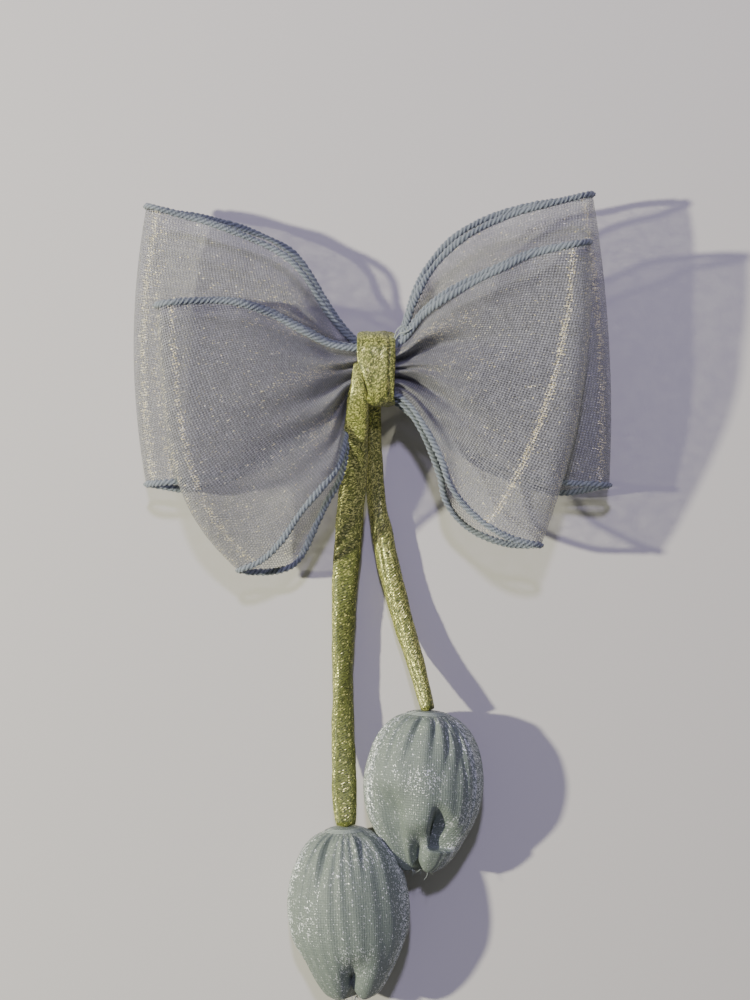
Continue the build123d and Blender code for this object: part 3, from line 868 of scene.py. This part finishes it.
def stem_piece(name, route, widths, flats, turns, painted_glints_to, material, seam_at):
    """A soft flattened tube along the route, and its middle line. The lists are (place along it,
    value) pairs: its width, its thickness as a share of that, and its turn in degrees."""
    line = route_points(name, route)
    at = lengths(line)
    t = at / at[-1]

    def value(pairs):
        curve = smooth_line(pairs, 400)
        return np.interp(t, curve[:, 0], curve[:, 1])

    half_wide = value(widths) / 2
    half_thick = half_wide * value(flats)
    turn = np.radians(value(turns))

    def folds(share, a):
        s = share * at[-1]
        around = np.angle(np.exp(1j * (a - seam_at - 0.12 * np.sin(0.09 * s))))
        lapped = 0.10 * smoothstep(-0.10, 0.06, around) * smoothstep(1.3, 0.3, around)
        crease = lapped - 0.12 * hump(around, -0.12, 0.10)
        soft = 0.022 * np.sin(0.35 * s + 3 * a) + 0.018 * np.sin(0.75 * s - 2 * a + 1.0)
        wrinkle = 0.012 * np.sin(2.6 * s + 5 * a) * np.sin(0.31 * s)
        return crease + soft + wrinkle

    hw, ht = rounded_ends(line, half_wide, half_thick, 0.5)
    grid = tube(line, hw, ht, (0, 0, 1), turn, segments=STEM_SEGMENTS, power=2.5, lift=folds)
    round_it = np.linspace(0, 2 * math.pi, STEM_SEGMENTS)[None, :] * 2.6 * MM
    # painted glints: the satin's flecks are painted bright all over near the knot, and only along one side
    # below
    a = np.linspace(0, 2 * math.pi, STEM_SEGMENTS, endpoint=False)[None, :]
    side_on = hump(np.cos(a - seam_at + 0.45), 1.0, 0.22)
    top = 1 - smoothstep(painted_glints_to, painted_glints_to + 0.25, t)[:, None]
    mesh = grid_mesh(name, grid, (at[:, None] * MM, round_it), wrap_cols=True, caps=True,
                     shine=np.clip(0.04 + top + 0.85 * side_on, 0, 1))
    return piece(name, mesh, material), line


def make_stems(material):
    left, line = stem_piece(
        "left_stem_tube", LEFT_ROUTE,
        [(0, 1.8), (0.04, 3.4), (0.08, 5.2), (0.13, 6.0), (0.22, 6.5), (0.38, 6.9), (0.5, 6.4),
         (0.62, 5.6), (0.70, 5.1), (0.8, 5.8), (0.93, 6.2), (0.97, 5.6), (1, 4.4)],
        [(0, 0.50), (0.08, 0.40), (0.13, 0.50), (0.22, 0.64), (0.38, 0.66), (0.6, 0.8), (0.70, 0.9),
         (0.82, 0.66), (1, 0.62)],
        [(0, -4), (0.08, -12), (0.14, -20), (0.27, -8), (0.5, 4), (0.70, 16), (0.82, 4), (1, 0)],
        0.28, material, 0.62,
    )
    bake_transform(left)
    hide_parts("left_stem")
    right, line = stem_piece(
        "right_stem_tube", RIGHT_ROUTE,
        [(0, 4.4), (0.15, 4.6), (0.3, 4.6), (0.42, 5.4), (0.55, 5.6), (0.7, 5.2), (0.85, 4.4), (1, 3.4)],
        [(0, 0.8), (0.15, 0.9), (0.3, 0.8), (0.5, 0.72), (0.8, 0.8), (1, 0.95)],
        [(0, 40), (0.2, 36), (0.45, 8), (0.7, 0), (1, -10)],
        0.80, material, 1.45,
    )
    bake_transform(right)
    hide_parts("right_stem")


def thin_thread(points, radius):
    """A length of sewing thread through points."""
    line = smooth_line(points, 12 * len(points))
    grid = tube(line, radius, radius, (0.1, 0.2, 1), segments=8)
    around = np.linspace(0, 2 * math.pi * radius * MM, 8)[None, :]
    return grid_mesh("thread", grid, (lengths(line)[:, None] * MM, around), wrap_cols=True, caps=True)


# The loose ends of the thread behind the band: a loop and a straight end.
KNOT_THREAD_RADIUS = 0.15
KNOT_THREADS = [
    [(4.4, 3.2, 19.2), (5.2, 5.2, 20.4), (6.6, 6.0, 20.4), (7.6, 5.0, 20.0), (6.8, 4.0, 20.4)],
    [(4.5, 2.6, 19.0), (5.8, 4.2, 20.8), (7.4, 4.6, 21.2), (9.0, 5.6, 21.0)],
]


def make_knot(material, thread):
    band = piece("centre_band_satin", band_mesh(), material)
    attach(band, "bow")
    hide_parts("centre_band")
    tails = [thin_thread(points, KNOT_THREAD_RADIUS) for points in KNOT_THREADS]
    loose = piece("knot_thread_ends", tails, thread)
    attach(loose, "bow")


# ------------------------------------------------------------------ buds

# Each bud in its own frame: the neck's place, its turn in degrees, the distance to the tip, and (distance
# from the neck, half width) pairs. Angles go round it in degrees, from its right side over its top.
# valleys: angle, depth and the share of the length where it starts; lean turns the first one, open widens
# them all towards the neck, steep is how soon they deepen. creases: angle, depth, width and length.
# gathers: depth of the rucks at the neck. shine: angle and width of a stretch with painted glints. rims:
# the side seams, which carry a thin line of painted glints. pocket: angle, distance, depth, width and half
# length; a depth of 0 means that there is none.
BUDS = {
    "left": dict(
        pivot=LEFT_ROUTE[-1], turn=2.0, seed=4, tip=42.6,
        half=[
            (0.0, 3.6), (0.8, 5.4), (2.0, 8.0), (4.2, 10.4), (7.5, 12.4), (12.0, 14.0), (17.0, 14.9),
            (22.0, 15.1), (28.0, 14.2), (34.0, 11.8), (38.5, 9.2), (41.2, 7.0), (42.6, 4.6),
        ],
        valleys=[(84, 0.85, 0.68), (175, 0.25, 0.6), (265, 0.45, 0.6), (0, 0.25, 0.6)],
        creases=[(112, 0.10, 0.12, 12.0), (62, 0.05, 0.10, 7.0), (138, 0.05, 0.12, 7.0)],
        gathers=0.055, shine=[(176, 12), (14, 20)], lean=20.0, rims=(164, 22), open=0.40, steep=0.30,
        pocket=(84, 30.0, 0.0, 0.20, 4.0),
    ),
    "right": dict(
        pivot=RIGHT_ROUTE[-1], turn=-3.5, seed=9, tip=39.8,
        half=[
            (0.0, 3.2), (0.8, 5.6), (2.0, 8.2), (4.2, 10.6), (7.5, 12.6), (12.0, 14.0), (16.5, 14.8),
            (21.0, 14.8), (26.0, 13.8), (31.0, 11.4), (35.5, 8.8), (38.2, 6.6), (39.8, 4.2),
        ],
        valleys=[(92, 0.62, 0.66), (128, 0.30, 0.40), (255, 0.45, 0.6), (350, 0.25, 0.6)],
        pocket=(64, 29.0, 0.60, 0.30, 5.2),
        creases=[
            (104, 0.05, 0.09, 11.0), (58, 0.06, 0.08, 12.0), (76, 0.05, 0.08, 9.0),
            (42, 0.05, 0.09, 11.0),
        ],
        gathers=0.06, shine=[(170, 16), (24, 16)], lean=40.0, rims=(160, 32), open=0.40, steep=0.24,
    ),
}
FLATNESS = 0.70
LIE = 0.10                    # the lowest cloth above the table
FRAYED = 9                    # thread ends at each tip


def bud_surface(spec, shrink=0.0, rows=190, cols=288):
    """A bud's grid in its own frame, its axis along -Y from the neck and +Z up, the distance of each row
    from the neck, and how thickly painted glints are sprinkled on the cloth."""
    at = np.linspace(0, 1, rows) ** 0.92 * spec["tip"]
    profile = smooth_line(spec["half"], 600)
    half = np.interp(at, profile[:, 0], profile[:, 1]) - shrink
    a = np.linspace(0, 2 * math.pi, cols, endpoint=False)[None, :]
    at2, half2 = at[:, None], half[:, None]
    degrees = np.degrees(a)
    seed = spec["seed"]
    near = np.exp(-((at2 / 9.0) ** 1.3)) * smoothstep(0.0, 1.6, at2)
    fan = a + 0.25 * wave_noise(seed, 2 * np.cos(a), 2 * np.sin(a))
    uneven = 0.5 + 0.5 * wave_noise(seed + 3, 3 * np.cos(a), 3 * np.sin(a))
    ruck = spec["gathers"] * near * (uneven * np.sin(17 * fan) + 0.45 * np.sin(31 * fan + 1.0))
    ruck = ruck - 0.5 * spec["gathers"] * near * np.abs(np.sin(6.5 * fan + 0.4 * seed)) ** 0.5
    length_folds = 0.008 * np.sin(23 * fan + 0.12 * at2) * smoothstep(3, 12, at2)
    soft = 0.022 * wave_noise(seed + 1, 2.2 * np.cos(a), 2.2 * np.sin(a), 0.16 * at2)
    crease = 0.0
    for place, depth, width, fade in spec["creases"]:
        gap = np.radians(apart(degrees, place + 0.9 * at2))
        run = np.exp(-((at2 / fade) ** 2)) * smoothstep(0.3, 2.0, at2)
        crease = crease - depth * 1.6 * hump(gap, 0, width) * run
    share = at2 / spec["tip"]
    valley = 0.0
    for place, depth, start in spec["valleys"]:
        lean = spec["lean"] * (share - 0.75) if place == spec["valleys"][0][0] else 0.0
        gap = np.radians(apart(degrees, place + lean))
        width = 0.18 + spec["open"] * (1 - share)
        valley = valley - depth * hump(gap, 0, width) * smoothstep(start, start + spec["steep"], share)
    place, middle, depth, width, tall = spec["pocket"]
    gap = np.radians(apart(degrees, place + 1.6 * (middle - at2)))
    widening = width * (0.35 + 0.65 * smoothstep(middle - 1.6 * tall, middle + tall, at2))
    lip = smoothstep(middle + tall, middle + 0.75 * tall, at2)
    inside = smoothstep(middle - 1.6 * tall, middle, at2) * lip
    valley = valley - depth * hump(gap, 0, widening) * inside
    rim = 0.0
    for place in spec["rims"]:
        gap = np.radians(apart(degrees, place))
        seam = 0.030 * hump(gap, 0, 0.045) - 0.022 * hump(gap, -0.11, 0.05)
        rim = rim + seam * smoothstep(0.03, 0.16, share)
    r = 1.0 + ruck + length_folds + soft + crease + valley + rim
    x = half2 * r * np.cos(a)
    z = half2 * FLATNESS * r * np.sin(a)
    # neck round, body flat underneath
    round_neck = 1 + (1 / FLATNESS - 1) * np.exp(-((at2 / 3.0) ** 2))
    z = z * round_neck
    # the two lobes at the tip hang a little past the pinch between them
    gap = np.radians(degrees - spec["valleys"][0][0] - 0.22 * spec["lean"])
    y = -at2 + 3.2 * smoothstep(0.80, 1.0, share) * hump(gap, 0, 0.35)
    # painted glints: along the shine stretches, in thin lines on the rim seams, and in random patches
    shine = 0.0
    for place, width in spec["shine"]:
        shine = shine + hump(apart(degrees, place), 0, width)
    for place in spec["rims"]:
        shine = shine + 1.2 * hump(apart(degrees, place), 0, 4)
    patches = wave_noise(seed + 7, 3 * np.cos(a), 3 * np.sin(a), 0.3 * at2)
    shine = np.clip(0.8 * shine + 0.40 * smoothstep(0.1, 0.9, patches), 0, 1)
    return np.stack([x, y, z], -1), at, shine


def place_bud(grid, spec):
    """The bud where it hangs, flattened where it lies on the table."""
    turn = math.radians(spec["turn"])
    c, s = math.cos(turn), math.sin(turn)
    x = grid[..., 0] * c - grid[..., 1] * s
    y = grid[..., 0] * s + grid[..., 1] * c
    placed = np.stack([x, y, grid[..., 2]], -1) + np.array(spec["pivot"])
    over = placed[..., 2] - LIE
    placed[..., 2] = LIE + 0.5 * (over + np.sqrt(over**2 + 0.4**2))
    return placed


def frayed_threads(spec):
    """Loose thread ends at the pinched tip."""
    rng = np.random.default_rng(spec["seed"] + 50)
    meshes = []
    for _ in range(FRAYED):
        start = np.array([rng.uniform(-2.2, 2.2), -spec["tip"] + 0.6, rng.uniform(-0.6, 2.0)])
        way = np.array([rng.uniform(-0.8, 0.8), -1.0, rng.uniform(-0.2, 0.7)])
        bend = np.array([rng.uniform(-1.2, 1.2), 0.2, rng.uniform(-0.6, 0.6)])
        reach = rng.uniform(1.0, 2.6)
        t = np.linspace(0, 1, 14)[:, None]
        line = place_bud(start + way * t * reach + bend * t**2 * reach * 0.6, spec)
        radius = 0.09 * (1 - 0.6 * t[:, 0])
        grid = tube(line, radius, radius, (0.1, 0.1, 1), segments=6)
        uv = (t * 0.003, np.linspace(0, 0.0006, 6)[None, :])
        meshes.append(grid_mesh("thread", grid, uv, wrap_cols=True, caps=True))
    return meshes


def thread_coil(spec, at, turns, radius):
    """Thread wound round the neck, following its round."""
    profile = smooth_line(spec["half"], 600)
    count = turns * 60
    a = np.linspace(0, 2 * math.pi * turns, count)
    y = at + (np.linspace(0, 1, count) - 0.5) * turns * radius * 2.1
    half = np.interp(y, profile[:, 0], profile[:, 1]) + radius * 0.8
    flat = FLATNESS * (1 + (1 / FLATNESS - 1) * np.exp(-((y / 3.0) ** 2)))
    line = np.stack([half * np.cos(a), -y, half * flat * np.sin(a)], 1)
    line = place_bud(line, spec)
    grid = tube(line, radius, radius, (0, 1, 0.01), segments=8)
    uv = (lengths(line)[:, None] * MM, np.linspace(0, 0.001, 8)[None, :])
    return grid_mesh("coil", grid, uv, wrap_cols=True, caps=True)


def make_bud(side, cloth, thread, filling):
    spec = BUDS[side]
    body = f"{side}_bud"
    grid, at, shine = bud_surface(spec)
    around = np.linspace(-1, 1, grid.shape[1])[None, :] * 45 * MM
    uv = (at[:, None] * MM, around)
    mesh = grid_mesh("bud", place_bud(grid, spec), uv, wrap_cols=True, caps=True, shine=shine)
    cover = piece(f"{side}_tulip_cover", mesh, cloth)
    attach(cover, body)
    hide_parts(f"{side}_bud_cover")
    inner, _, _ = bud_surface(spec, shrink=2.2, rows=60, cols=96)
    inner = inner * (0.9, 0.66, 0.86) - (0, 2.6, 0)
    mesh = grid_mesh("fill", place_bud(inner, spec), None, wrap_cols=True, caps=True)
    fill = piece(f"{side}_tulip_filling", mesh, filling)
    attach(fill, body)
    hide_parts(f"{side}_bud_stuffing")
    coil = piece(f"{side}_tulip_neck_thread", thread_coil(spec, 0.45, 3, 0.11), thread)
    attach(coil, body)
    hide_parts(f"{side}_bud_neck_thread")
    ends = piece(f"{side}_tulip_tip_thread", frayed_threads(spec), thread)
    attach(ends, body)
    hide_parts(f"{side}_bud_tip_stitch")


# ------------------------------------------------------------------ metal and hidden thread

def finish_hardware(thread):
    """Steel for the clip's CAD pieces, and thread for the gathers'."""
    bright = steel("nickelled_steel", rgb(0.70, 0.69, 0.67), 0.26, 900.0)
    spring = steel("spring_steel", rgb(0.55, 0.56, 0.58), 0.32, 1300.0)
    pin = steel("pin_steel", rgb(0.74, 0.73, 0.71), 0.18, 1600.0)
    wanted = {
        "clip_plate": bright, "clip_arm": bright, "clip_tension_bar": spring, "clip_catch": spring,
        "clip_hinge_pin": pin, "clip_catch_rivet": pin, "gathering_thread": thread,
    }
    for node, material in wanted.items():
        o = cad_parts[node]
        o.data.materials.clear()
        o.data.materials.append(material)


# ------------------------------------------------------------------ stage

def make_stage():
    """A plain pale table."""
    mesh = bpy.data.meshes.new("floor")
    corners = [(-1, -1), (1, -1), (1, 1), (-1, 1)]
    verts = [metres((x * FLOOR_HALF, y * FLOOR_HALF, FLOOR_Z)) for x, y in corners]
    mesh.from_pydata(verts, [], [(0, 1, 2, 3)])
    floor = bpy.data.objects.new("floor", mesh)
    bpy.context.scene.collection.objects.link(floor)
    mesh.materials.append(table_top())


def area_light(name, place, target, size, power, colour):
    data = bpy.data.lights.new(name, "AREA")
    data.shape = "DISK"
    data.size = size
    data.energy = power
    data.color = colour
    light = bpy.data.objects.new(name, data)
    light.location = place
    light.rotation_euler = (Vector(target) - Vector(place)).to_track_quat("-Z", "Y").to_euler()
    bpy.context.scene.collection.objects.link(light)


def make_lights():
    """A low warm key light from the left and a cool one from beyond the bow, in metres and watts."""
    middle = (0, -0.05, 0)
    area_light("key", (-0.95, 0.02, 0.68), middle, 0.05, 21.2, (1.0, 0.975, 0.80))
    area_light("top", (-0.02, 0.55, 1.05), middle, 0.10, 7.4, (0.66, 0.60, 1.0))
    world = bpy.data.worlds.new("room")
    world.use_nodes = True
    background = world.node_tree.nodes["Background"]
    background.inputs["Color"].default_value = rgb(0.86, 0.87, 0.92)
    background.inputs["Strength"].default_value = 0.17
    bpy.context.scene.world = world


# ------------------------------------------------------------------ all of it

make_camera()
satin = green_satin()
thread = plain("sewing_thread", (2400.0, 3.0),
               rgb(0.26, 0.31, 0.27), rgb(0.50, 0.55, 0.50), 0.7, 0.5, 0.0001)
make_stems(satin)
make_knot(satin, thread)
cloth, edging = organza(), overlock()
for layer in ("back", "front"):
    ribbon, edges = make_ribbon(layer, cloth)
    hems = make_hems(layer, edges, edging)
bud_cloth = bud_satin()
filling = plain("fibre_fill", (900.0, 6.0, 0.7),
                rgb(0.72, 0.72, 0.70), rgb(0.92, 0.92, 0.90), 0.9, 0.8, 0.0004)
for side in ("left", "right"):
    make_bud(side, bud_cloth, thread, filling)
finish_hardware(thread)
make_stage()
make_lights()
